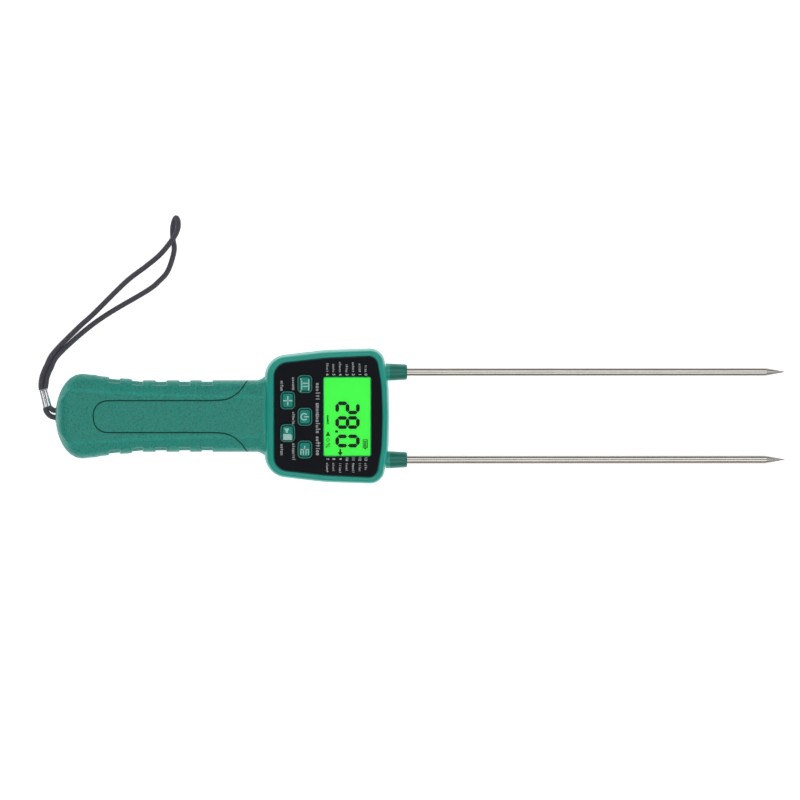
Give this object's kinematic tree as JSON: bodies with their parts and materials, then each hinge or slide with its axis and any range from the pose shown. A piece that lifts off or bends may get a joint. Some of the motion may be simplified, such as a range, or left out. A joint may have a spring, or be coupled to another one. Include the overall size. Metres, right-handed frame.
{
  "type": "grain moisture meter",
  "caption": "Hand-held grain moisture meter: moulded housing with a display, keys, two pointed probe rods, a battery door and a wrist strap.",
  "frame": {"origin": "on the surface that the back rests on, under the middle of the box around the housing and the rods, without the strap", "axes": "+X along the handle to the probe tips, +Z out of the display, +Y to the left seen from the handle"},
  "size_m": [0.4784, 0.1718, 0.0304],
  "materials": {
    "housing_green": "fine moulded grain",
    "key_green": "satin",
    "panel_black": "gloss",
    "window_clear": "clear",
    "display_green": "lit display",
    "light_guide_white": "gloss",
    "dark_plastic": "matte",
    "rubber_strip": "matte",
    "board_laminate": "solder mask",
    "plated_steel": "bright plated",
    "ground_steel": "ground along its length",
    "ferrule_metal": "bright plated",
    "brass": "turned",
    "cell_wrap": "printed sleeve",
    "wire_red": "gloss",
    "wire_black": "gloss",
    "strap_cord": "braided"
  },
  "bodies": {
    "housing": {"front_shell": "housing_green", "rear_shell": "housing_green", "face_panel": "panel_black", "display_window": "window_clear", "lcd_cell": "display_green", "lcd_backlight": "light_guide_white", "lcd_frame": "dark_plastic", "lcd_connector": "rubber_strip", "main_board": "board_laminate", "processor_chip": "dark_plastic", "voice_chip": "dark_plastic", "speaker": "dark_plastic", "speaker_magnet": "plated_steel", "battery_link": "plated_steel", "battery_contact_plus": "plated_steel", "battery_contact_minus": "plated_steel", "battery_spring_1": "plated_steel", "battery_spring_2": "plated_steel", "strap_pin": "ground_steel", "cord_knot": "strap_cord", "wrist_cord": "strap_cord", "cord_ferrule": "ferrule_metal", "switch_bars": "dark_plastic", "switch_power": "dark_plastic", "switch_fork": "dark_plastic", "switch_plus": "dark_plastic", "switch_voice": "dark_plastic", "battery_cell_1": "cell_wrap", "battery_cell_2": "cell_wrap", "battery_cell_3": "cell_wrap", "battery_cell_4": "cell_wrap", "probe_rod_left": "ground_steel", "probe_bush_left": "brass", "probe_nut_left": "brass", "solder_tag_left": "plated_steel", "probe_wire_left": "wire_red", "probe_rod_right": "ground_steel", "probe_bush_right": "brass", "probe_nut_right": "brass", "solder_tag_right": "plated_steel", "probe_wire_right": "wire_red", "battery_wire_plus": "wire_red", "battery_wire_minus": "wire_black", "speaker_wire_1": "wire_red", "speaker_wire_2": "wire_black", "case_screw_1": "plated_steel", "case_screw_2": "plated_steel", "case_screw_3": "plated_steel", "case_screw_4": "plated_steel", "case_screw_5": "plated_steel", "case_screw_6": "plated_steel", "board_screw_1": "plated_steel", "board_screw_2": "plated_steel"},
    "key_bars": {"key_bars": "key_green"},
    "key_power": {"key_power": "key_green"},
    "key_fork": {"key_fork": "key_green"},
    "key_plus": {"key_plus": "key_green"},
    "key_voice": {"key_voice": "key_green"},
    "battery_door": {"battery_door": "housing_green"}
  },
  "joints": [
    {"name": "key_bars_press", "type": "slide", "parent": "housing", "child": "key_bars", "axis": [0, 0, -1], "range_m": [0, 0.0008], "stiffness_N_per_m": 1200, "springref_m": -0.0005},
    {"name": "key_power_press", "type": "slide", "parent": "housing", "child": "key_power", "axis": [0, 0, -1], "range_m": [0, 0.0008], "stiffness_N_per_m": 1200, "springref_m": -0.0005},
    {"name": "key_fork_press", "type": "slide", "parent": "housing", "child": "key_fork", "axis": [0, 0, -1], "range_m": [0, 0.0008], "stiffness_N_per_m": 1200, "springref_m": -0.0005},
    {"name": "key_plus_press", "type": "slide", "parent": "housing", "child": "key_plus", "axis": [0, 0, -1], "range_m": [0, 0.0008], "stiffness_N_per_m": 1200, "springref_m": -0.0005},
    {"name": "key_voice_press", "type": "slide", "parent": "housing", "child": "key_voice", "axis": [0, 0, -1], "range_m": [0, 0.0008], "stiffness_N_per_m": 1200, "springref_m": -0.0005},
    {"name": "battery_door_swing", "type": "hinge", "parent": "housing", "child": "battery_door", "pos_m": [-0.1148, 0, 0.0014], "axis": [0, -1, 0], "range_deg": [0, 75]}
  ]
}
